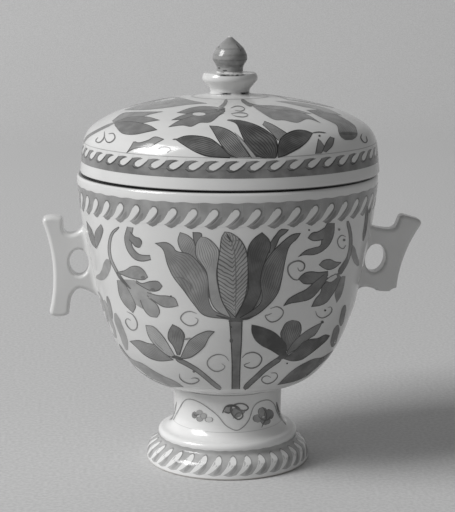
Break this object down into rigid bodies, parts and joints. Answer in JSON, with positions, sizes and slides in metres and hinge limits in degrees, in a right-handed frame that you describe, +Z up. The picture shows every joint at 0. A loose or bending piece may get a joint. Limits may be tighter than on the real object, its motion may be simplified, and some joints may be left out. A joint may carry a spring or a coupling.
{
  "type": "covered cup",
  "caption": "Glazed porcelain cup on a hollow turned foot, with two pierced bracket handles and a loose domed cover with a bud knob.",
  "frame": {"origin": "On the table, under the foot ring, in the middle of the handle span. The handle at +X reaches 4.1 mm further out than the one at -X, so the axis that bowl, foot and cover are turned about stands at x = -2.07 mm, y = 0.", "axes": "+Z up, along the axis of the turned forms. +X towards the handle that reaches further, whose lower horn is broken off. +Y away from the viewer of the picture, which sees the side at -Y."},
  "size_m": [0.1414, 0.1115, 0.16],
  "materials": {
    "cup_porcelain": "clear gloss glaze over underglaze floral painting",
    "cover_porcelain": "clear gloss glaze over underglaze floral painting"
  },
  "bodies": {
    "root": {"cup": "cup_porcelain", "cover": "cover_porcelain"}
  },
  "joints": []
}
